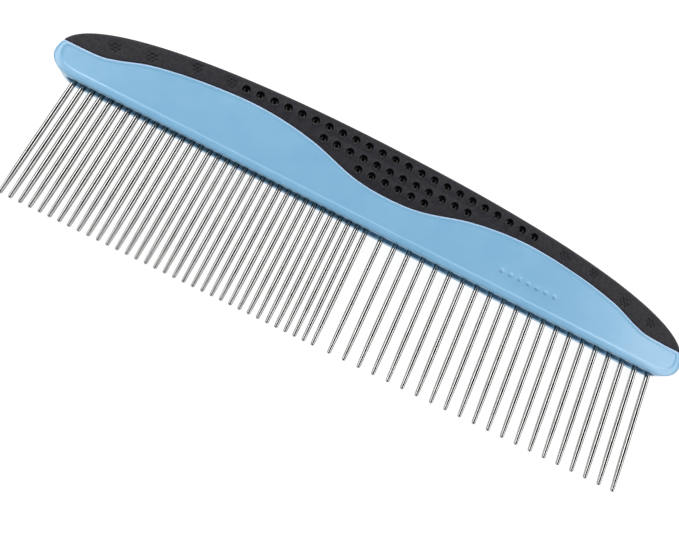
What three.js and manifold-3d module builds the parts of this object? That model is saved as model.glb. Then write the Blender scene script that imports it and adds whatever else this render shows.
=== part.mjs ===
// A two-pitch grooming comb: fifty-five round steel pins held by a rail inside a hard plastic
// handle, with a soft grip moulded over the handle's spine. Nothing on it moves.
//
// Millimetres. X runs along the comb, with the close-set pins towards -X. The pins point along -Y
// and the spine is towards +Y. The comb lies flat, so its face looks up +Z and its back is at Z = 0.
// Each piece is drawn about the middle of the tooth edge, halfway through the handle, and the
// group then moves the whole comb so that the origin is under the centre of its box.

import * as THREE from 'three';
import { mergeVertices } from 'three/addons/utils/BufferGeometryUtils.js';
import Module from 'manifold-3d';

const wasm = await Module();
wasm.setup();

// Pins
const FINE_COUNT = 34;
const COARSE_COUNT = 21;
const FINE_PITCH = 3.2;
const COARSE_PITCH = 5.25;
const CHANGE_GAP = 5.85; // between the last fine pin and the first coarse one
const ROW_MIDDLE = 0.45; // the row stands this far off the handle's middle, towards the coarse end
const PIN_DIAMETER = 1.75;
const PIN_TIP_DIAMETER = 1.25;
const PIN_TAPER = 16; // length over which a pin narrows towards its tip
const PIN_REACH = 42.3; // from the tooth edge to the tip
const PIN_SIDES = 8;

// Handle
const HANDLE_HALF_LENGTH = 116.9;
const SPINE_HEIGHT = 30.5; // tooth edge to the top of the spine
const WAIST_HEIGHT = 8; // where the handle is longest
const CORNER_LENGTH = 10; // how far the lower corners round in from the ends
const THICKNESS = 8;
const EDGE_ROUND = 1.6;
const OUTLINE_POWER_ALONG = 2.2; // 2 would make the outline's quarters ellipses
const OUTLINE_POWER_ACROSS = 2.33;
const SPINE_STEPS = 22; // straight pieces in each quarter of the outline
const CORNER_STEPS = 7;

// The wave where the hard plastic meets the soft grip: distance from its middle, height
const WAVE_MIDDLE = -1.2;
const WAVE_TILT = 0.0035; // how fast it climbs towards the coarse end
const WAVE = [[0, 12.5], [13, 13.7], [31, 18.8], [50, 21], [70, 19.6], [87, 16.4], [98, 12.3],
  [105, 10.9], [125, 10.7]];
const WAVE_STEPS = 60;

// Hard body
const RIM_WIDTH = 0.8; // raised border round the face panel
const PANEL_DEPTH = 0.2;
const SPINE_WALL = 3.2; // soft grip over the hard tongue's edge
const TONGUE_THICKNESS = 3.4;

// Channel along the tooth edge, with the pin rail at its bottom
const CHANNEL_WIDTH = 4;
const CHANNEL_DEPTH = 9.3;
const CHANNEL_BEYOND = 2.4; // past half the row's length, at each end
const RAIL_SETBACK = 3; // from the tooth edge up to the rail
const RAIL_HEIGHT = 6;
const PIN_IN_RAIL = 5;

// Soft grip's rows of blind dimples: how many, and how high
const DIMPLE_DIAMETER = 2.6;
const DIMPLE_DEPTH = 1.4;
const DIMPLE_PITCH = 5;
const DIMPLE_SIDES = 8;
const TOP_DIMPLES = 23;
const TOP_DIMPLE_INSET = 4.2; // below the top of the spine
const LOWER_DIMPLE_ROWS = [{ count: 12, height: 21.2 }, { count: 6, height: 16.9 }];

const GAP = 0.3; // clearance between neighbouring pieces
const BEYOND = 20; // how far a cutting shape runs past what it cuts

const ROW_LENGTH = (FINE_COUNT - 1) * FINE_PITCH + CHANGE_GAP + (COARSE_COUNT - 1) * COARSE_PITCH;

// Materials

const plastic = { color: 0x8ab8db, roughness: 0.3, metalness: 0 };
const finishes = {
  body: plastic,
  rail: { ...plastic, roughness: 0.6 },
  grip: { color: 0x3c3a41, roughness: 0.85, metalness: 0 },
  steel: { color: 0xc9ccd0, roughness: 0.25, metalness: 1 },
};

// Outlines

// One quarter of a rounded outline, from its side to its top, as [along, across] pairs.
function quarter(length, height, steps) {
  return Array.from({ length: steps + 1 }, (_, step) => {
    const angle = (step / steps) * Math.PI / 2;
    const along = length * Math.cos(angle) ** (2 / OUTLINE_POWER_ALONG);
    const across = height * Math.sin(angle) ** (2 / OUTLINE_POWER_ACROSS);
    return [step === steps ? 0 : along, across];
  });
}

// The whole handle seen from above, anticlockwise from the middle of its right-hand corner.
function handleOutline() {
  const spine = quarter(HANDLE_HALF_LENGTH, SPINE_HEIGHT - WAIST_HEIGHT, SPINE_STEPS)
    .map(([along, across]) => [along, WAIST_HEIGHT + across]);
  const corner = quarter(CORNER_LENGTH, WAIST_HEIGHT, CORNER_STEPS)
    .map(([along, across]) => [HANDLE_HALF_LENGTH - CORNER_LENGTH + along, WAIST_HEIGHT - across]);
  const rightHalf = [...corner.slice(1).reverse(), ...spine];
  const leftHalf = rightHalf.slice(0, -1).reverse().map(([x, y]) => [-x, y]);
  return [...rightHalf, ...leftHalf].map(([x, y]) => new THREE.Vector2(x, y));
}

// The wave from left to right, raised by lift.
function waveLine(lift) {
  const leftHalf = WAVE.slice(1).reverse().map(([x, y]) => [-x, y]);
  const points = [...leftHalf, ...WAVE].map(([x, y]) => {
    return new THREE.Vector2(WAVE_MIDDLE + x, y + WAVE_TILT * x + lift);
  });
  return new THREE.SplineCurve(points).getPoints(WAVE_STEPS);
}

// A closed anticlockwise outline moved inwards by the same distance all round.
function inset(outline, distance) {
  return outline.map((point, i) => {
    const before = outline[(i + outline.length - 1) % outline.length];
    const after = outline[(i + 1) % outline.length];
    const inward = after.clone().sub(before).normalize().rotateAround(new THREE.Vector2(), Math.PI / 2);
    return point.clone().addScaledVector(inward, distance);
  });
}

// Solids

function solidOf(geometry) {
  const bare = geometry.clone();
  bare.deleteAttribute('normal');
  bare.deleteAttribute('uv');
  const merged = mergeVertices(bare, 1e-5);
  const vertProperties = new Float32Array(merged.attributes.position.array);
  const triVerts = new Uint32Array(merged.index.array);
  return new wasm.Manifold(new wasm.Mesh({ numProp: 3, vertProperties, triVerts }));
}

function geometryOf(solid) {
  const { vertProperties, triVerts } = solid.getMesh();
  const geometry = new THREE.BufferGeometry();
  geometry.setAttribute('position', new THREE.BufferAttribute(vertProperties, 3));
  geometry.setIndex(new THREE.BufferAttribute(triVerts, 1));
  geometry.computeVertexNormals();
  return geometry;
}

// A flat-sided solid on an outline, as thick as given and centred on Z = height.
function slab(outline, thickness, height = 0) {
  const shape = new THREE.Shape(outline);
  const geometry = new THREE.ExtrudeGeometry(shape, { depth: thickness, bevelEnabled: false });
  return solidOf(geometry.translate(0, 0, height - thickness / 2));
}

function box(width, depth, thickness, x, y) {
  return solidOf(new THREE.BoxGeometry(width, depth, thickness).translate(x, y, 0));
}

// The whole handle, hard and soft together, with its edges rounded over.
function handleBlank() {
  const geometry = new THREE.ExtrudeGeometry(new THREE.Shape(handleOutline()), {
    depth: THICKNESS - 2 * EDGE_ROUND,
    bevelThickness: EDGE_ROUND,
    bevelSize: EDGE_ROUND,
    bevelOffset: -EDGE_ROUND,
    bevelSegments: 3,
  });
  return solidOf(geometry.translate(0, 0, EDGE_ROUND - THICKNESS / 2));
}

// Everything between the wave, raised by lift, and a level line above or below the whole handle.
function sideOfWave(lift, level) {
  const line = waveLine(lift);
  const first = line[0];
  const last = line[line.length - 1];
  const outline = [...line, new THREE.Vector2(last.x, level), new THREE.Vector2(first.x, level)];
  return slab(level > 0 ? outline : outline.reverse(), THICKNESS + BEYOND);
}

function tongue(growth) {
  return slab(inset(handleOutline(), SPINE_WALL - growth), TONGUE_THICKNESS + 2 * growth);
}

// The shallow recess that leaves a raised rim round the face, on one side of the handle.
function panelRecess(side) {
  const inner = slab(inset(handleOutline(), EDGE_ROUND + RIM_WIDTH), 2 * PANEL_DEPTH, side * THICKNESS / 2);
  return inner.intersect(sideOfWave(-RIM_WIDTH, -BEYOND));
}

function handleBody() {
  const channel = box(ROW_LENGTH + 2 * CHANNEL_BEYOND, 2 * CHANNEL_DEPTH, CHANNEL_WIDTH, 0, 0);
  return handleBlank()
    .intersect(sideOfWave(0, -BEYOND))
    .add(tongue(0))
    .subtract(channel)
    .subtract(panelRecess(1))
    .subtract(panelRecess(-1));
}

// A round cutter with a pointed bottom, pressed into the grip's face or its back.
function dimple(x, y, side) {
  const radius = DIMPLE_DIAMETER / 2;
  const profile = [[0, -DIMPLE_DEPTH], [radius, -DIMPLE_DEPTH / 2], [radius, DIMPLE_DEPTH], [0, DIMPLE_DEPTH]];
  const points = profile.map(([across, up]) => new THREE.Vector2(across, up));
  const geometry = new THREE.LatheGeometry(points, DIMPLE_SIDES);
  return solidOf(geometry.rotateX(side * Math.PI / 2).translate(x, y, side * THICKNESS / 2));
}

// Height of the spine's edge at a distance along the handle.
function spineEdge(x) {
  const share = 1 - Math.abs(x / HANDLE_HALF_LENGTH) ** OUTLINE_POWER_ALONG;
  return WAIST_HEIGHT + (SPINE_HEIGHT - WAIST_HEIGHT) * share ** (1 / OUTLINE_POWER_ACROSS);
}

// The top row follows the spine and has one dimple more at its left end than the rows below it
// are centred for. The lower rows are straight.
function dimplePlaces() {
  const lastTop = WAVE_MIDDLE + (TOP_DIMPLES - 2) * DIMPLE_PITCH / 2;
  const top = Array.from({ length: TOP_DIMPLES }, (_, i) => {
    const x = lastTop - i * DIMPLE_PITCH;
    return [x, spineEdge(x) - TOP_DIMPLE_INSET];
  });
  const lower = LOWER_DIMPLE_ROWS.flatMap(({ count, height }) => Array.from({ length: count }, (_, i) => {
    return [WAVE_MIDDLE + (i - (count - 1) / 2) * DIMPLE_PITCH, height];
  }));
  return [...top, ...lower];
}

function grip() {
  const shell = handleBlank()
    .intersect(sideOfWave(GAP, SPINE_HEIGHT + BEYOND))
    .subtract(tongue(GAP));
  return dimplePlaces().reduce((solid, [x, y]) => {
    return solid.subtract(dimple(x, y, 1)).subtract(dimple(x, y, -1));
  }, shell);
}

// A pin standing on the origin, tapering down -Y to its rounded tip.
function pinGeometry() {
  const radius = PIN_DIAMETER / 2;
  const tipRadius = PIN_TIP_DIAMETER / 2;
  const shoulder = tipRadius * Math.SQRT1_2;
  const profile = [
    [0, -PIN_REACH],
    [shoulder, -PIN_REACH + tipRadius - shoulder],
    [tipRadius, -PIN_REACH + tipRadius],
    [radius, -PIN_REACH + PIN_TAPER],
    [radius, RAIL_SETBACK + PIN_IN_RAIL],
    [0, RAIL_SETBACK + PIN_IN_RAIL],
  ];
  return new THREE.LatheGeometry(profile.map(([across, up]) => new THREE.Vector2(across, up)), PIN_SIDES);
}

function pinPlaces() {
  const firstFine = ROW_MIDDLE - ROW_LENGTH / 2;
  const fine = Array.from({ length: FINE_COUNT }, (_, i) => {
    return { name: `fine_pin_${String(i + 1).padStart(2, '0')}`, x: firstFine + i * FINE_PITCH };
  });
  const firstCoarse = firstFine + (FINE_COUNT - 1) * FINE_PITCH + CHANGE_GAP;
  const coarse = Array.from({ length: COARSE_COUNT }, (_, i) => {
    return { name: `coarse_pin_${String(i + 1).padStart(2, '0')}`, x: firstCoarse + i * COARSE_PITCH };
  });
  return [...fine, ...coarse];
}

// The strip that the pins are set in, with one blind hole for each pin.
function pinRail() {
  const length = ROW_LENGTH + 2 * (CHANNEL_BEYOND - GAP);
  const middle = RAIL_SETBACK + RAIL_HEIGHT / 2;
  const bar = box(length, RAIL_HEIGHT, CHANNEL_WIDTH - 2 * GAP, 0, middle);
  const holeRadius = PIN_DIAMETER / 2 + GAP;
  const holeTop = RAIL_SETBACK + PIN_IN_RAIL + GAP;
  return pinPlaces().reduce((solid, { x }) => {
    const hole = new THREE.CylinderGeometry(holeRadius, holeRadius, 2 * holeTop, PIN_SIDES);
    return solid.subtract(solidOf(hole.translate(x, 0, 0)));
  }, bar);
}

// Assembly

function piece(name, geometry, finish) {
  const mesh = new THREE.Mesh(geometry, new THREE.MeshStandardMaterial(finish));
  mesh.name = name;
  return mesh;
}

const comb = new THREE.Group();
comb.position.set(0, (PIN_REACH - SPINE_HEIGHT) / 2, THICKNESS / 2);
comb.add(piece('handle_body', geometryOf(handleBody()), finishes.body));
comb.add(piece('grip', geometryOf(grip()), finishes.grip));
comb.add(piece('pin_rail', geometryOf(pinRail()), finishes.rail));
for (const { name, x } of pinPlaces()) {
  const pin = piece(name, pinGeometry(), finishes.steel);
  pin.position.x = x;
  comb.add(pin);
}

export default comb;
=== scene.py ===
"""A two-pitch grooming comb lying on its back: the looks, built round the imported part.

The handle is drawn in millimetres about the middle of its tooth edge, halfway through its
thickness. X runs along the comb, +Y points to the spine and +Z out of the face. placed() turns
that drawing into places in the part's own frame, in metres.
"""

import math

import bmesh
import bpy
import numpy as np
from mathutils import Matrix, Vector
from mathutils.geometry import delaunay_2d_cdt
from mathutils.kdtree import KDTree


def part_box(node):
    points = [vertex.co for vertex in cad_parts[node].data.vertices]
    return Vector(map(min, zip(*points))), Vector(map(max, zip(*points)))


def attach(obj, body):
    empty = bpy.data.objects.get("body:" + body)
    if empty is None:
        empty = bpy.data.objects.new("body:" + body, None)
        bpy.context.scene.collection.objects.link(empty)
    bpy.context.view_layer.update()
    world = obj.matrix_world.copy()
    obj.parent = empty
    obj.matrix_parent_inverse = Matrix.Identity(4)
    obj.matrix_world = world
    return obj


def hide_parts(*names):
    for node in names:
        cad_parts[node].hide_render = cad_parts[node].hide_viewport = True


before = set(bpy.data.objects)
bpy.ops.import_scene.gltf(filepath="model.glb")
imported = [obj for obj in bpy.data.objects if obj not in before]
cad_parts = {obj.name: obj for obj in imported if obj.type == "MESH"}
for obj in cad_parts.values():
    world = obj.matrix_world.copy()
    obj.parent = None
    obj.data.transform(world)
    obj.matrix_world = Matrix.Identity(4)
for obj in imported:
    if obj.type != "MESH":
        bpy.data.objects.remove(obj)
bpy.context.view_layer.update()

MM = 0.001


def box_mm(node):
    """A CAD node's lowest and highest corners, in millimetres."""
    low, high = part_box(node)
    return np.array(low) / MM, np.array(high) / MM


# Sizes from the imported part

body_low, body_high = box_mm("handle_body")
_, grip_high = box_mm("grip")
rail_low, rail_high = box_mm("pin_rail")
pin_nodes = sorted(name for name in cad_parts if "_pin_" in name)
pin_low, pin_high = box_mm(pin_nodes[0])

TOOTH_EDGE = body_low[1]
MIDDLE = (body_low[2] + body_high[2]) / 2
HALF_THICK = (body_high[2] - body_low[2]) / 2
HALF_LENGTH = body_high[0]
SPINE_HEIGHT = grip_high[1] - TOOTH_EDGE
RAIL_BOTTOM = rail_low[1] - TOOTH_EDGE
RAIL_TOP = rail_high[1] - TOOTH_EDGE
RAIL_HALF_LENGTH = rail_high[0]
RAIL_HALF_WIDTH = (rail_high[2] - rail_low[2]) / 2
PIN_TIP = pin_low[1] - TOOTH_EDGE
PIN_TOP = pin_high[1] - TOOTH_EDGE
PIN_RADIUS = (pin_high[2] - pin_low[2]) / 2

# The handle's outline, as in the part: superellipse quarters that meet at the waist

WAIST_HEIGHT = 8
CORNER_LENGTH = 10
POWER_ALONG = 2.2
POWER_ACROSS = 2.33
WAVE_MIDDLE = -1.2  # the wave's middle stands this far left of the handle's
WAVE_TILT = 0.0035  # rise of the wave per millimetre to the right
# The edge between hard plastic and grip, as distance from its middle and height, the same both ways
WAVE = [(0, 12.5), (13, 13.7), (31, 18.8), (50, 21), (70, 19.6), (87, 16.4), (98, 12.3), (105, 10.9),
        (125, 10.7)]

# Surface detail, in millimetres

STEP = 0.7  # spacing of the points along an edge
CORNER_STEPS = 60
SPINE_STEPS = 400
WAVE_STEPS = 40  # between one of the wave's points and the next
FACE_DROP = 0.2  # the faces lie this far inside the part's box, and raised marks come out to it
SEAM_GAP = 0.04  # between hard plastic and grip, at the wave
SEAM_ROUND = 0.4  # on the grip's side of the seam
SEAM_BEVEL = (0.5, 0.17)  # on the hard side: how far it comes in from the seam, and how deep
SEAM_HIGHLIGHT_WIDTH = 0.36  # width of the painted highlight along the seam on the hard side, a paler line
TOOTH_EDGE_ROUND = (2.1, 0.4)  # how far the rounding comes in from the outline, and down the side
SPINE_ROUND = (1.8, 1.6)
ROUND_CHANGE = (4, 13)  # heights between which one rounding turns into the other

WAVE_RIM = 0.55  # width of the raised border round the sunk face panel, along the wave
OUTER_RIM = 2  # and along the outline
RIM_SHARE = 0.95  # the panel's edge keeps at least this share of either rim
PANEL_DEPTH = 0.11
PANEL_STEP = 0.9  # width of the slope down into the panel
PANEL_STEP_ROWS = np.linspace(-0.15, 1.15, 7)  # rows of points over that slope, as shares of its width
PANEL_SOFTENING = 4  # passes that soften the corners of the panel's edge

HARD_FILL = 2.2  # spacing of the points over a plain face
GRIP_FILL = 1.6
TOOTH_ROUND_ROWS = 7  # rows of points over a rounded edge
SPINE_ROUND_ROWS = 8
SEAM_ROUND_ROWS = 4

CHANNEL_GAP = 0.3  # between the channel's walls and the rail
CHANNEL_MARGIN = 4 * CHANNEL_GAP  # tooth edge drawn with the channel, beyond the rail's ends
LIP_ROUND = 0.22
LIP_ROWS = 5
STADIUM_SIDES = 24  # both round ends of the channel or the rail together

DIMPLE_PITCH = 5
TOP_DIMPLES = 23
TOP_DIMPLE_INSET = 4.2  # from the spine's edge
LOWER_DIMPLE_ROWS = [(12, 21.2), (6, 16.9)]  # how many, and height
# From the flat face, over a slightly raised lip and down to a round bottom: radius, height
DIMPLE_LIP = [(1.86, 0), (1.74, 0.07), (1.6, 0.12), (1.47, 0.06), (1.38, -0.12)]
DIMPLE_WELL = [(1.38, -0.12), (1.37, -0.6), (1.31, -1.1), (1.13, -1.45), (0.8, -1.64), (0.35, -1.7)]
DIMPLE_BOTTOM = -1.7
DIMPLE_SIDES = 22
DIMPLE_CLEARANCE = 1.02  # the grip's edge rows leave out their points within this many lip radii
DIMPLE_BEND = 4  # power by which a dimple's level middle turns into the curved face round it

# Place along, share of the way from wave to spine
ROSETTES = [(64, 0.5), (76, 0.6), (90, 0.42), (101.5, 0.52)]
ROSETTE_RING = 1.4
ROSETTE_DOT = 0.62
ROSETTE_DOTS = 6
ROSETTE_RAISE = 0.3
ROSETTE_DISH = (2.7, -0.14)  # radius and height of the hollow that a rosette stands in

PIPS = 7  # a plain row of raised dots on the face
PIP_START = (45, 8.2)
PIP_PITCH = 3.4
PIP_RADIUS = 0.9
PIP_RAISE = 0.3

BUMP_STEEPNESS = 1.6
BUMP_SIDES = 12
BUMP_RINGS = (0.35, 0.6, 0.8, 0.95, 1.1)  # rings of points over a bump, as shares of its radius

# The rail's collar round each pin: distance out from the pin, height
BOSS = [(0.43, 0), (0.38, -0.12), (0.26, -0.2), (0.1, -0.22)]
BOSS_SIDES = 20
RAIL_CHAMFER = 0.2
PIN_CLEARANCE = 0.01
PIN_TIP_RADIUS = 0.62
PIN_TAPER = 16  # length over which a pin narrows towards its tip
PIN_SIDES = 24
DOME_ROWS = 7
TAPER_ROWS = 8

ROW_SHARE = 0.9  # a row of points that follows an edge keeps this share of its distance from it
FILL_SHARE = 0.6  # a filling point keeps this share of the spacing from every other point
INSIDE_LOOPS = 1  # the triangulation's mode that keeps what lies inside its loops
SNAP_DISTANCE = 1e-4
SHARP_DEGREES = 35  # edges that turn by more than this stay sharp
MERGE_DISTANCE = 0.0005  # points closer than this are one point

# Values of the noise between which a material goes from its one end to its other
COLOUR_SPREAD = (0.35, 0.65)
ROUGHNESS_SPREAD = (0.3, 0.7)

# Floor, light and camera, in metres and degrees

FLOOR_HALF = 1.5
# Height above the horizon, as the sine of its angle, and brightness of the studio there
SKY = [(0.15, 0.75), (0.3, 0.12), (0.6, 0.12), (0.95, 0.04)]
# Name, place, size, and brightness where the light shows in a mirror
SOFTBOXES = [("left", (-0.5, 0.1, 0.42), (0.9, 0.2), 5.1),
             ("right", (0.5, 0.1, 0.42), (0.9, 0.2), 4.4),
             ("back", (0, 0.5, 0.42), (0.9, 0.3), 2.5)]
CAMERA_PLACE = (-0.0166, -0.056, 0.1783)
CAMERA_TURN = (10.93, -9.87, 25.1)
CAMERA_LENS = 29.2  # in millimetres, as is the sensor
SENSOR_WIDTH = 36
CLIP_START = 0.01


# Outlines

def quarter(length, height, steps):
    """One quarter of a rounded outline, from its side to its top."""
    angle = np.linspace(0, np.pi / 2, steps + 1)
    along = length * np.cos(angle).clip(0) ** (2 / POWER_ALONG)
    across = height * np.sin(angle) ** (2 / POWER_ACROSS)
    return np.column_stack([along, across])


def resampled(line, spacing):
    """The same line with its points evenly spaced."""
    lengths = np.hypot(*np.diff(line, axis=0).T)
    along = np.concatenate([[0], np.cumsum(lengths)])
    even = np.linspace(0, along[-1], max(2, round(along[-1] / spacing)) + 1)
    return np.column_stack([np.interp(even, along, line[:, axis]) for axis in (0, 1)])


def closed(loop):
    return np.vstack([loop, loop[:1]])


def inset(loop, distance):
    """A closed anticlockwise loop, moved inwards."""
    along = np.roll(loop, -1, axis=0) - np.roll(loop, 1, axis=0)
    along /= np.hypot(*along.T)[:, None]
    return loop + np.reshape(distance, (-1, 1)) * np.column_stack([-along[:, 1], along[:, 0]])


def rounded_off(loop, passes):
    """A closed loop with its corners softened."""
    for _ in range(passes):
        loop = (np.roll(loop, 1, axis=0) + 2 * loop + np.roll(loop, -1, axis=0)) / 4
    return loop


def handle_outline():
    """The whole handle, anticlockwise from the middle of the tooth edge and back to it."""
    corner = quarter(CORNER_LENGTH, WAIST_HEIGHT, CORNER_STEPS)[::-1]
    corner = np.column_stack([HALF_LENGTH - CORNER_LENGTH + corner[:, 0], WAIST_HEIGHT - corner[:, 1]])
    spine = quarter(HALF_LENGTH, SPINE_HEIGHT - WAIST_HEIGHT, SPINE_STEPS) + [0, WAIST_HEIGHT]
    right = np.vstack([[[0, 0]], corner, spine[1:]])
    return np.vstack([right, right[-2::-1] * [-1, 1]])


def outline_reach(height):
    """Half the handle's length at a height above the waist."""
    share = 1 - ((height - WAIST_HEIGHT) / (SPINE_HEIGHT - WAIST_HEIGHT)) ** POWER_ACROSS
    return HALF_LENGTH * share ** (1 / POWER_ALONG)


def spine_edge(x):
    """Height of the spine's edge at a place along the handle."""
    share = 1 - abs(x / HALF_LENGTH) ** POWER_ALONG
    return WAIST_HEIGHT + (SPINE_HEIGHT - WAIST_HEIGHT) * share ** (1 / POWER_ACROSS)


def wave_curve():
    """The wave from left to right, as a smooth curve through its points."""
    right = np.array(WAVE, float)
    knots = np.vstack([right[:0:-1] * [-1, 1], right])
    knots[:, 1] += WAVE_TILT * knots[:, 0]
    knots[:, 0] += WAVE_MIDDLE
    padded = np.vstack([knots[:1], knots, knots[-1:]])
    t = np.linspace(0, 1, WAVE_STEPS, endpoint=False)[:, None]
    stretches = []
    for before, start, end, after in zip(padded, padded[1:], padded[2:], padded[3:]):
        leave, arrive = (end - before) / 2, (after - start) / 2
        cubic = (2 * start - 2 * end + leave + arrive) * t ** 3
        square = (3 * end - 3 * start - 2 * leave - arrive) * t ** 2
        stretches.append(cubic + square + leave * t + start)
    return np.vstack(stretches)


def wave_line(lift):
    """The wave, raised by lift and cut off where it meets the outline."""
    line = wave_curve() + [0, lift]
    inside = line[np.abs(line[:, 0]) < outline_reach(line[:, 1]) - STEP / 4]
    left, right = inside[0, 1], inside[-1, 1]
    start, end = [-outline_reach(left), left], [outline_reach(right), right]
    return resampled(np.vstack([start, inside, end]), STEP)


def above_ends(fine, wave):
    """Which points of the whole outline are higher than the wave's end on their side."""
    return np.flatnonzero(fine[:, 1] > np.where(fine[:, 0] > 0, wave[-1, 1], wave[0, 1]))


def outline_below(wave):
    """The outline from the wave's left end, under and round to its right end."""
    fine = handle_outline()
    above = above_ends(fine, wave)
    return resampled(np.vstack([wave[:1], fine[above[-1] + 1:], fine[1:above[0]], wave[-1:]]), STEP)


def outline_above(wave):
    """The outline from the wave's right end, over the spine to its left end."""
    fine = handle_outline()
    return resampled(np.vstack([wave[-1:], fine[above_ends(fine, wave)], wave[:1]]), STEP)


OUTLINE = resampled(handle_outline(), STEP)


# Heights of the face above the middle of the handle

def distance_to(points, line):
    """How far each point is from a line."""
    nearest = np.full(len(points), np.inf)
    for start, span in zip(line[:-1], np.diff(line, axis=0)):
        along = np.clip((points - start) @ span / (span @ span), 0, 1)
        nearest = np.minimum(nearest, np.hypot(*(points - start - along[:, None] * span).T))
    return nearest


def within(points, loop):
    """Which points are inside a closed loop."""
    odd = np.zeros(len(points), bool)
    for (x1, y1), (x2, y2) in zip(loop, np.roll(loop, -1, axis=0)):
        crossed = (y1 > points[:, 1]) != (y2 > points[:, 1])
        edge = x1 + (points[:, 1] - y1) * (x2 - x1) / ((y2 - y1) or 1)
        odd ^= crossed & (points[:, 0] < edge)
    return odd


def smooth_step(value):
    value = np.clip(value, 0, 1)
    return value * value * (3 - 2 * value)


def rounding(distance, reach, drop):
    """How far a rounded edge has dropped at a distance in from it."""
    inside = np.clip(1 - distance / reach, 0, 1)
    return drop * (1 - np.sqrt(1 - inside ** 2))


def blank_height(points):
    """The whole handle's face, rounded over at its outline."""
    low, high = ROUND_CHANGE
    share = smooth_step((points[:, 1] - low) / (high - low))
    reach, drop = (a + (b - a) * share for a, b in zip(TOOTH_EDGE_ROUND, SPINE_ROUND))
    return HALF_THICK - FACE_DROP - rounding(distance_to(points, OUTLINE), reach, drop)


def bump_height(points, bumps):
    """Low round bumps, each given as x, y, radius and height."""
    total = np.zeros(len(points))
    for x, y, radius, height in bumps:
        share = 1 - ((points[:, 0] - x) ** 2 + (points[:, 1] - y) ** 2) / radius ** 2
        total += height * smooth_step(BUMP_STEEPNESS * share)
    return total


# Building one closed piece

class Shell:
    """The points and faces of one closed piece, in the drawing's millimetres."""

    def __init__(self):
        self.points = []
        self.faces = []
        self.slots = []

    def add(self, points, faces, slot=0):
        first = sum(len(part) for part in self.points)
        self.points.append(np.asarray(points, float))
        self.faces += [tuple(int(i) + first for i in face) for face in faces]
        self.slots += [slot] * len(faces)

    def add_rows(self, rows, looped=True, slot=0):
        """Quads between rows of equally many points."""
        rows = np.asarray(rows, float)
        count = rows.shape[1]
        quads = [(row * count + i, row * count + (i + 1) % count,
                  (row + 1) * count + (i + 1) % count, (row + 1) * count + i)
                 for row in range(len(rows) - 1) for i in range(count if looped else count - 1)]
        self.add(rows.reshape(-1, 3), quads, slot)

    def add_tip(self, row, tip, slot=0):
        """A fan that closes a row of points onto one more."""
        count = len(row)
        self.add(np.vstack([row, [tip]]), [(i, (i + 1) % count, count) for i in range(count)], slot)

    def piece(self, name, materials):
        mesh = bpy.data.meshes.new(name)
        mesh.from_pydata(placed(np.vstack(self.points)).tolist(), [], self.faces)
        for material in materials:
            mesh.materials.append(material)
        mesh.polygons.foreach_set("material_index", self.slots)
        shape = bmesh.new()
        shape.from_mesh(mesh)
        bmesh.ops.remove_doubles(shape, verts=shape.verts, dist=MERGE_DISTANCE * MM)
        bmesh.ops.recalc_face_normals(shape, faces=shape.faces)
        shape.to_mesh(mesh)
        shape.free()
        mesh.shade_smooth()
        mesh.set_sharp_from_angle(angle=math.radians(SHARP_DEGREES))
        obj = bpy.data.objects.new(name, mesh)
        bpy.context.scene.collection.objects.link(obj)
        return obj


def placed(points):
    return (np.asarray(points) + [0, TOOTH_EDGE, MIDDLE]) * MM


def circle(radius, segments):
    angle = np.linspace(0, 2 * np.pi, segments, endpoint=False)
    return radius * np.column_stack([np.cos(angle), np.sin(angle)])


def triangulated(loop, points, holes=()):
    """A flat triangle mesh inside a loop, through the given points, with the holes left open."""
    loops = [loop, *holes]
    starts = np.cumsum([0] + [len(ring) for ring in loops])
    edges = [(int(start) + i, int(start) + (i + 1) % len(ring))
             for start, ring in zip(starts, loops) for i in range(len(ring))]
    corners = [Vector(point) for point in np.vstack([*loops, points])]
    found = delaunay_2d_cdt(corners, edges, [], INSIDE_LOOPS, SNAP_DISTANCE, False)
    flat = np.array([tuple(corner) for corner in found[0]])
    faces = np.array(found[2])
    middles = flat[faces].mean(axis=1)
    keep = within(middles, loop)
    for hole in holes:
        keep &= ~within(middles, hole)
    return flat, faces[keep]


def rows_inside(loop, chosen, distances, line):
    """Rows of points that follow the chosen part of a loop at each distance in from it."""
    rows = []
    for distance in distances:
        row = inset(loop, distance)[chosen]
        rows.append(row[distance_to(row, line) > ROW_SHARE * distance])
    return np.vstack(rows)


def round_steps(reach, count):
    """Distances in from an edge that share a quarter-round of that reach into equal turns."""
    return reach * (1 - np.cos(np.linspace(0, np.pi / 2, count + 1)[1:]))


def bump_points(bumps):
    rings = np.vstack([[[0, 0]], *[circle(share, BUMP_SIDES) for share in BUMP_RINGS]])
    return np.vstack([rings * radius + [x, y] for x, y, radius, _ in bumps])


def filling(loop, taken, spacing):
    """Evenly spread points inside a loop, clear of the points that are already there."""
    tree = KDTree(len(taken))
    for i, (x, y) in enumerate(taken):
        tree.insert((x, y, 0), i)
    tree.balance()
    low, high = loop.min(axis=0), loop.max(axis=0)
    xs, ys = np.meshgrid(np.arange(low[0], high[0], spacing), np.arange(low[1], high[1], spacing))
    xs[1::2] += spacing / 2
    spread = np.column_stack([xs.ravel(), ys.ravel()])
    spread = spread[within(spread, loop)]
    clear = [tree.find((x, y, 0))[2] > FILL_SHARE * spacing for x, y in spread]
    return spread[clear]


# Hard plastic body

def panel_loop(loop, on_wave, wave, below):
    """The edge of the sunk panel: the body's edge, moved in by the width of its rim."""
    edge = inset(loop, np.where(on_wave, WAVE_RIM, OUTER_RIM))
    off_wave = distance_to(edge, wave) > RIM_SHARE * WAVE_RIM
    off_outline = distance_to(edge, below) > RIM_SHARE * OUTER_RIM
    return rounded_off(resampled(closed(edge[off_wave & off_outline]), STEP)[:-1], PANEL_SOFTENING)


def pip_bumps():
    x, y = PIP_START
    return [(x + i * PIP_PITCH, y, PIP_RADIUS, PIP_RAISE) for i in range(PIPS)]


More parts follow.
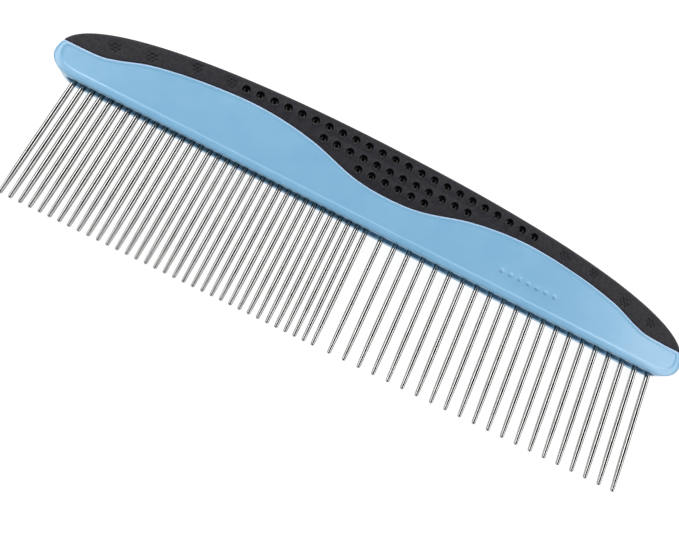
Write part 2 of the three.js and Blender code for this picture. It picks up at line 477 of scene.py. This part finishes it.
def stadium(half_length, radius):
    """A long loop with round ends."""
    ends = circle(radius, STADIUM_SIDES)
    turn, half = STADIUM_SIDES // 4, STADIUM_SIDES // 2 + 1
    right = np.roll(ends, turn, axis=0)[:half] + [half_length - radius, 0]
    left = np.roll(ends, -turn, axis=0)[:half] - [half_length - radius, 0]
    return np.vstack([right, left])


def add_channel(shell, below, heights):
    """The tooth edge's underside, with the channel for the rail let into it."""
    half_length = RAIL_HALF_LENGTH + CHANNEL_GAP
    half_width = RAIL_HALF_WIDTH + CHANNEL_GAP
    spans = np.hypot(*np.diff(below, axis=0).T)
    along = np.concatenate([[0], np.cumsum(spans)]) - spans.sum() / 2

    def on_edge(flat, depth):
        x, y = (np.interp(flat[:, 0], along, below[:, axis]) for axis in (0, 1))
        return np.column_stack([x, y + depth, flat[:, 1]])

    border = np.vstack([np.column_stack([along, heights]), np.column_stack([along, -heights])[::-1]])
    turns = np.linspace(0, np.pi / 2, LIP_ROWS)
    offsets = LIP_ROUND * (1 - np.sin(turns))
    depths = LIP_ROUND * (1 - np.cos(turns))
    loops = [stadium(half_length + offset, half_width + offset) for offset in offsets]
    flat, faces = triangulated(border, np.empty((0, 2)), loops[:1])
    shell.add(on_edge(flat, 0), faces)
    rows = [on_edge(loop, depth) for loop, depth in zip(loops, depths)]
    top = on_edge(loops[-1], 0)
    top[:, 1] = RAIL_TOP + CHANNEL_GAP
    shell.add_rows([*rows, top])
    shell.add(top, [range(len(top))])


def hard_body(plastic, seam_highlight_paint):
    wave = wave_line(0)
    below = outline_below(wave)
    loop = np.vstack([below, wave[-2:0:-1]])
    on_wave = np.arange(len(loop)) >= len(below)
    panel = panel_loop(loop, on_wave, wave, below)
    border = closed(loop)
    points = np.vstack([
        rows_inside(loop, ~on_wave, round_steps(TOOTH_EDGE_ROUND[0], TOOTH_ROUND_ROWS), border),
        rows_inside(loop, on_wave, (SEAM_HIGHLIGHT_WIDTH, SEAM_BEVEL[0]), border),
        *[inset(panel, step) for step in PANEL_STEP_ROWS * PANEL_STEP],
        bump_points(pip_bumps()),
    ])
    points = np.vstack([points, filling(loop, np.vstack([loop, points]), HARD_FILL)])
    flat, faces = triangulated(loop, points)

    def face_height(places, bumps):
        inwards = np.where(within(places, panel), 1, -1) * distance_to(places, closed(panel))
        bevel, depth = SEAM_BEVEL
        seam = depth * np.clip(1 - distance_to(places, wave) / bevel, 0, 1)
        sunk = PANEL_DEPTH * smooth_step(inwards / PANEL_STEP)
        return blank_height(places) - seam - sunk + bump_height(places, bumps)

    shell = Shell()
    # Painted highlight: the faces along the seam take the paler plastic in place of the light its bevel
    # catches.
    in_seam_highlight = distance_to(flat[faces].mean(axis=1), wave) < SEAM_HIGHLIGHT_WIDTH
    for top, bumps in ((1, pip_bumps()), (-1, [])):
        surface = np.column_stack([flat, top * face_height(flat, bumps)])
        shell.add(surface, faces[~in_seam_highlight])
        shell.add(surface, faces[in_seam_highlight], slot=1)
    heights = face_height(loop, [])
    reach = RAIL_HALF_LENGTH + CHANNEL_MARGIN
    straight = np.flatnonzero((np.abs(below[:, 0]) < reach) & (below[:, 1] < WAIST_HEIGHT / 2))
    first, last = straight[0], straight[-1]
    add_channel(shell, below[first:last + 1], heights[first:last + 1])
    rest = np.r_[last:len(loop), 0:first + 1]
    sides = [np.column_stack([loop[rest], sign * heights[rest]]) for sign in (1, -1)]
    shell.add_rows(sides, looped=False)
    return shell.piece("hard_body", [plastic, seam_highlight_paint])


# Soft grip

def dimple_places():
    """The top row follows the spine and has one dimple more at its left end than would centre it
    over the straight rows below."""
    last = WAVE_MIDDLE + (TOP_DIMPLES - 2) * DIMPLE_PITCH / 2
    top_row = last - DIMPLE_PITCH * np.arange(TOP_DIMPLES)
    places = [(x, spine_edge(x) - TOP_DIMPLE_INSET) for x in top_row]
    for count, height in LOWER_DIMPLE_ROWS:
        places += [(WAVE_MIDDLE + (i - (count - 1) / 2) * DIMPLE_PITCH, height) for i in range(count)]
    return places


def rosette_bumps(wave):
    """Plain rosettes on both ends of the grip: in a shallow dish, a ring of dots round one more."""
    bumps = []
    for side in (-1, 1):
        for along, share in ROSETTES:
            x = side * along
            low = np.interp(x, wave[:, 0], wave[:, 1])
            y = low + share * (spine_edge(x) - low)
            ring = circle(ROSETTE_RING, ROSETTE_DOTS) + [x, y]
            bumps.append((x, y, *ROSETTE_DISH))
            bumps += [(*dot, ROSETTE_DOT, ROSETTE_RAISE) for dot in [*ring, (x, y)]]
    return bumps


def add_dimple(shell, place, side, face_height):
    """One dimple, from the face over its lip and down to its bottom."""
    ring = circle(1, DIMPLE_SIDES)
    lip_radius = DIMPLE_LIP[0][0]
    edge = face_height(ring * lip_radius + place)
    level = face_height(np.array([place]))[0]

    def row(radius, height):
        surface = level + (edge - level) * (radius / lip_radius) ** DIMPLE_BEND
        return np.column_stack([radius * ring + place, side * (surface + height)])

    shell.add_rows([row(*step) for step in DIMPLE_LIP])
    # Painted shade: the well and its bottom take the darker smooth rubber.
    shell.add_rows([row(*step) for step in DIMPLE_WELL], slot=1)
    shell.add_tip(row(*DIMPLE_WELL[-1]), [*place, side * (level + DIMPLE_BOTTOM)], slot=1)


def soft_grip(rubber, smooth_rubber_painted_shade):
    wave = wave_line(SEAM_GAP)
    above = outline_above(wave)
    loop = np.vstack([above, wave[1:-1]])
    on_wave = np.arange(len(loop)) >= len(above)
    border = closed(loop)
    bumps = rosette_bumps(wave)
    dimples = dimple_places()
    lip = circle(1, DIMPLE_SIDES) * DIMPLE_LIP[0][0]
    holes = [lip + place for place in dimples]
    points = np.vstack([
        rows_inside(loop, ~on_wave, round_steps(SPINE_ROUND[0], SPINE_ROUND_ROWS), border),
        rows_inside(loop, on_wave, round_steps(SEAM_ROUND, SEAM_ROUND_ROWS), border),
    ])
    in_dimple = np.any([within(points, DIMPLE_CLEARANCE * lip + place) for place in dimples], axis=0)
    points = np.vstack([points[~in_dimple], bump_points(bumps)])
    points = np.vstack([points, filling(loop, np.vstack([loop, points, *holes]), GRIP_FILL)])
    flat, faces = triangulated(loop, points, holes)

    def face_height(places):
        seam = rounding(distance_to(places, wave), SEAM_ROUND, SEAM_ROUND)
        return blank_height(places) - seam + bump_height(places, bumps)

    shell = Shell()
    for side in (1, -1):
        shell.add(np.column_stack([flat, side * face_height(flat)]), faces)
        for place in dimples:
            add_dimple(shell, place, side, face_height)
    heights = face_height(loop)
    shell.add_rows([np.column_stack([loop, sign * heights]) for sign in (1, -1)])
    return shell.piece("soft_grip", [rubber, smooth_rubber_painted_shade])


# Pin rail and pins

def pin_places():
    """Where each pin stands along the comb, by its node's name."""
    places = {}
    for node in pin_nodes:
        low, high = box_mm(node)
        places[node] = (low[0] + high[0]) / 2
    return places


def moulded_rail(material):
    """A bar with softened edges and a low collar round each pin."""
    loop = stadium(RAIL_HALF_LENGTH, RAIL_HALF_WIDTH)
    smaller = stadium(RAIL_HALF_LENGTH - RAIL_CHAMFER, RAIL_HALF_WIDTH - RAIL_CHAMFER)
    ring = circle(1, BOSS_SIDES)
    holes = [ring * (PIN_RADIUS + BOSS[0][0]) + [x, 0] for x in pin_places().values()]

    def at(flat, height):
        return np.column_stack([flat[:, 0], np.full(len(flat), height), flat[:, 1]])

    shell = Shell()
    flat, faces = triangulated(smaller, np.empty((0, 2)), holes)
    shell.add(at(flat, RAIL_BOTTOM), faces)
    shell.add_rows([at(smaller, RAIL_BOTTOM), at(loop, RAIL_BOTTOM + RAIL_CHAMFER),
                    at(loop, RAIL_TOP - RAIL_CHAMFER), at(smaller, RAIL_TOP)])
    shell.add(at(smaller, RAIL_TOP), [range(len(smaller))])
    hole_top = PIN_TOP - RAIL_BOTTOM + PIN_CLEARANCE
    steps = [*BOSS, (PIN_CLEARANCE, BOSS[-1][1]), (PIN_CLEARANCE, hole_top)]
    for x in pin_places().values():
        rows = [at((PIN_RADIUS + out) * ring + [x, 0], RAIL_BOTTOM + height) for out, height in steps]
        shell.add_rows(rows)
        shell.add(rows[-1], [range(len(ring))])
    return shell.piece("moulded_rail", [material])


def round_pin(node, x, material):
    """A round bar that narrows to a domed tip, fast in the rail."""
    ring = circle(1, PIN_SIDES)
    shoulder = PIN_TIP + PIN_TIP_RADIUS
    steps = []
    for turn in np.linspace(0, np.pi / 2, DOME_ROWS + 1)[1:]:
        steps.append((PIN_TIP_RADIUS * math.sin(turn), shoulder - PIN_TIP_RADIUS * math.cos(turn)))
    for share in np.linspace(0, 1, TAPER_ROWS + 1)[1:]:
        radius = PIN_TIP_RADIUS + (PIN_RADIUS - PIN_TIP_RADIUS) * math.sin(share * np.pi / 2)
        steps.append((radius, shoulder + share * PIN_TAPER))
    steps.append((PIN_RADIUS, PIN_TOP))
    rows = [np.column_stack([radius * ring[:, 0] + x, np.full(len(ring), y), radius * ring[:, 1]])
            for radius, y in steps]
    shell = Shell()
    shell.add_tip(rows[0], [x, PIN_TIP, 0])
    shell.add_rows(rows)
    shell.add(rows[-1], [range(len(ring))])
    return shell.piece(f"round_{node}", [material])


# Materials

class Paint:
    """A material made of procedural nodes round one shader."""

    def __init__(self, name, **values):
        self.material = bpy.data.materials.new(name)
        self.material.use_nodes = True
        self.tree = self.material.node_tree
        self.shader = self.tree.nodes["Principled BSDF"]
        for socket, value in values.items():
            self.shader.inputs[socket.replace("_", " ")].default_value = value
        self.place = self.tree.nodes.new("ShaderNodeTexCoord").outputs["Object"]

    def link(self, source, target):
        self.tree.links.new(source, target)

    def noise(self, size, stretch=(1, 1, 1), detail=3.0):
        """Noise whose blotches are about size millimetres across, times stretch."""
        mapping = self.tree.nodes.new("ShaderNodeMapping")
        mapping.inputs["Scale"].default_value = [1 / (size * MM * share) for share in stretch]
        texture = self.tree.nodes.new("ShaderNodeTexNoise")
        texture.inputs["Scale"].default_value = 1
        texture.inputs["Detail"].default_value = detail
        self.link(self.place, mapping.inputs["Vector"])
        self.link(mapping.outputs["Vector"], texture.inputs["Vector"])
        return texture.outputs["Fac"]

    def colours(self, source, low, high):
        """The source's dark and light places in two colours."""
        ramp = self.tree.nodes.new("ShaderNodeValToRGB")
        for stop, position, colour in zip(ramp.color_ramp.elements, COLOUR_SPREAD, (low, high)):
            stop.position = position
            stop.color = (*colour, 1)
        self.link(source, ramp.inputs["Fac"])
        self.link(ramp.outputs["Color"], self.shader.inputs["Base Color"])

    def roughness(self, source, low, high):
        """The source's dark and light places in two roughnesses."""
        spread = self.tree.nodes.new("ShaderNodeMapRange")
        start, end = ROUGHNESS_SPREAD
        for socket, value in (("From Min", start), ("From Max", end), ("To Min", low), ("To Max", high)):
            spread.inputs[socket].default_value = value
        self.link(source, spread.inputs["Value"])
        self.link(spread.outputs["Result"], self.shader.inputs["Roughness"])

    def bump(self, source, depth, strength=1.0):
        """Raises the surface by up to depth millimetres, on top of any bump before it."""
        node = self.tree.nodes.new("ShaderNodeBump")
        node.inputs["Strength"].default_value = strength
        node.inputs["Distance"].default_value = depth * MM
        self.link(source, node.inputs["Height"])
        earlier = self.shader.inputs["Normal"].links
        if earlier:
            self.link(earlier[0].from_socket, node.inputs["Normal"])
        self.link(node.outputs["Normal"], self.shader.inputs["Normal"])


def blue_plastic():
    paint = Paint("blue_plastic", IOR=1.5, Coat_Weight=0.35, Coat_Roughness=0.12)
    paint.colours(paint.noise(14), (0.215, 0.466, 0.7), (0.24, 0.496, 0.725))
    paint.roughness(paint.noise(3.5), 0.28, 0.36)
    paint.bump(paint.noise(0.3, detail=1), 0.002, 0.4)
    return paint.material


def seam_highlight_plastic():
    """The hard plastic's edge at the seam, drawn as a thin paler line: a painted highlight."""
    paint = Paint("seam_highlight_plastic", IOR=1.5)
    # Painted highlight: paler than the blue plastic, for the light along the seam's bevel.
    paint.colours(paint.noise(5), (0.36, 0.51, 0.73), (0.42, 0.55, 0.76))
    paint.roughness(paint.noise(1.5), 0.3, 0.4)
    paint.bump(paint.noise(0.4), 0.004, 0.4)
    return paint.material


def rail_plastic():
    paint = Paint("rail_plastic", IOR=1.48)
    # Painted shade: a darker blue than the handle's plastic, for the shade in the channel that the rail
    # sits in.
    paint.colours(paint.noise(6), (0.17, 0.36, 0.57), (0.2, 0.4, 0.62))
    paint.roughness(paint.noise(1.5), 0.42, 0.56)
    paint.bump(paint.noise(0.35), 0.01, 0.5)
    return paint.material


def grained_rubber():
    paint = Paint("grained_rubber", IOR=1.34)
    paint.colours(paint.noise(1.1, detail=5), (0.01, 0.0095, 0.014), (0.021, 0.02, 0.026))
    paint.roughness(paint.noise(0.8), 0.52, 0.68)
    paint.bump(paint.noise(0.22, detail=2), 0.03, 0.8)
    paint.bump(paint.noise(0.9), 0.02, 0.5)
    return paint.material


def smooth_rubber_painted_shade():
    paint = Paint("smooth_rubber_painted_shade", IOR=1.5)
    # Smoother and glossier than the grained rubber, and darker: the darker colour is painted shade in
    # the deep wells.
    paint.colours(paint.noise(0.8), (0.004, 0.004, 0.005), (0.008, 0.008, 0.009))
    paint.roughness(paint.noise(0.6), 0.16, 0.24)
    paint.bump(paint.noise(0.4), 0.01, 0.4)
    return paint.material


def polished_steel():
    """Drawn wire: fine lines along the pin under a bright polish, with painted shade at its edges from
    the dark tint of its mirror.
    """
    # Painted shade: the dark Specular Tint darkens the mirror where the pin turns away, so its edges
    # look dark.
    paint = Paint("polished_steel", Metallic=1.0, Specular_Tint=(0.15, 0.15, 0.15, 1))
    paint.colours(paint.noise(0.5, stretch=(1, 14, 1)), (0.37, 0.37, 0.365), (0.46, 0.458, 0.45))
    paint.roughness(paint.noise(0.3, stretch=(1, 30, 1)), 0.05, 0.1)
    paint.bump(paint.noise(0.08, stretch=(1, 40, 1), detail=1), 0.003, 0.5)
    return paint.material


def pale_floor():
    paint = Paint("pale_floor", Roughness=0.9, Emission_Color=(1, 1, 1, 1), Emission_Strength=0.92)
    paint.colours(paint.noise(60), (0.15, 0.15, 0.15), (0.17, 0.17, 0.17))
    return paint.material


# The comb

def add_comb():
    body = hard_body(blue_plastic(), seam_highlight_plastic())
    grip = soft_grip(grained_rubber(), smooth_rubber_painted_shade())
    rail = moulded_rail(rail_plastic())
    for piece, node, slot in ((body, "handle_body", "hard_plastic"), (grip, "grip", "soft_grip"),
                              (rail, "pin_rail", "rail_plastic")):
        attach(piece, "root")
        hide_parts(node)
    steel = polished_steel()
    for node, x in pin_places().items():
        pin = round_pin(node, x, steel)
        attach(pin, "root")
        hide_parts(node)


# Floor, light and camera

def add_floor():
    half = FLOOR_HALF
    mesh = bpy.data.meshes.new("floor")
    corners = [(-half, -half, 0), (half, -half, 0), (half, half, 0), (-half, half, 0)]
    mesh.from_pydata(corners, [], [(0, 1, 2, 3)])
    mesh.materials.append(pale_floor())
    floor = bpy.data.objects.new("floor", mesh)
    bpy.context.scene.collection.objects.link(floor)


def add_softbox(name, place, size, brightness):
    """A rectangular light aimed at the comb, as bright as given where it shows in a mirror."""
    light = bpy.data.lights.new(name, "AREA")
    light.shape = "RECTANGLE"
    light.size, light.size_y = size
    light.energy = brightness * math.pi * size[0] * size[1]
    lamp = bpy.data.objects.new(name, light)
    lamp.location = place
    lamp.rotation_euler = (-Vector(place)).to_track_quat("-Z", "Y").to_euler()
    bpy.context.scene.collection.objects.link(lamp)


def add_sky():
    """A soft studio that is dark straight overhead, so that steel has a dark line along it."""
    world = bpy.data.worlds.new("studio")
    bpy.context.scene.world = world
    world.use_nodes = True
    tree = world.node_tree
    place = tree.nodes.new("ShaderNodeTexCoord")
    parts = tree.nodes.new("ShaderNodeSeparateXYZ")
    ramp = tree.nodes.new("ShaderNodeValToRGB")
    stops = ramp.color_ramp.elements
    for height, _ in SKY[1:-1]:
        stops.new(height)
    for stop, (height, level) in zip(stops, SKY):
        stop.position = height
        stop.color = (level, level, level, 1)
    tree.links.new(place.outputs["Generated"], parts.inputs["Vector"])
    tree.links.new(parts.outputs["Z"], ramp.inputs["Fac"])
    tree.links.new(ramp.outputs["Color"], tree.nodes["Background"].inputs["Color"])


def add_camera():
    """Nearly overhead, a little below the comb's middle, rolled so that the comb runs downhill."""
    camera = bpy.data.cameras.new("camera")
    camera.lens = CAMERA_LENS
    camera.sensor_width = SENSOR_WIDTH
    camera.clip_start = CLIP_START
    eye = bpy.data.objects.new("camera", camera)
    eye.location = CAMERA_PLACE
    eye.rotation_euler = [math.radians(turn) for turn in CAMERA_TURN]
    bpy.context.scene.collection.objects.link(eye)
    bpy.context.scene.camera = eye


add_camera()
add_comb()
add_floor()
add_sky()
for softbox in SOFTBOXES:
    add_softbox(*softbox)
bpy.context.scene.view_settings.view_transform = "Standard"
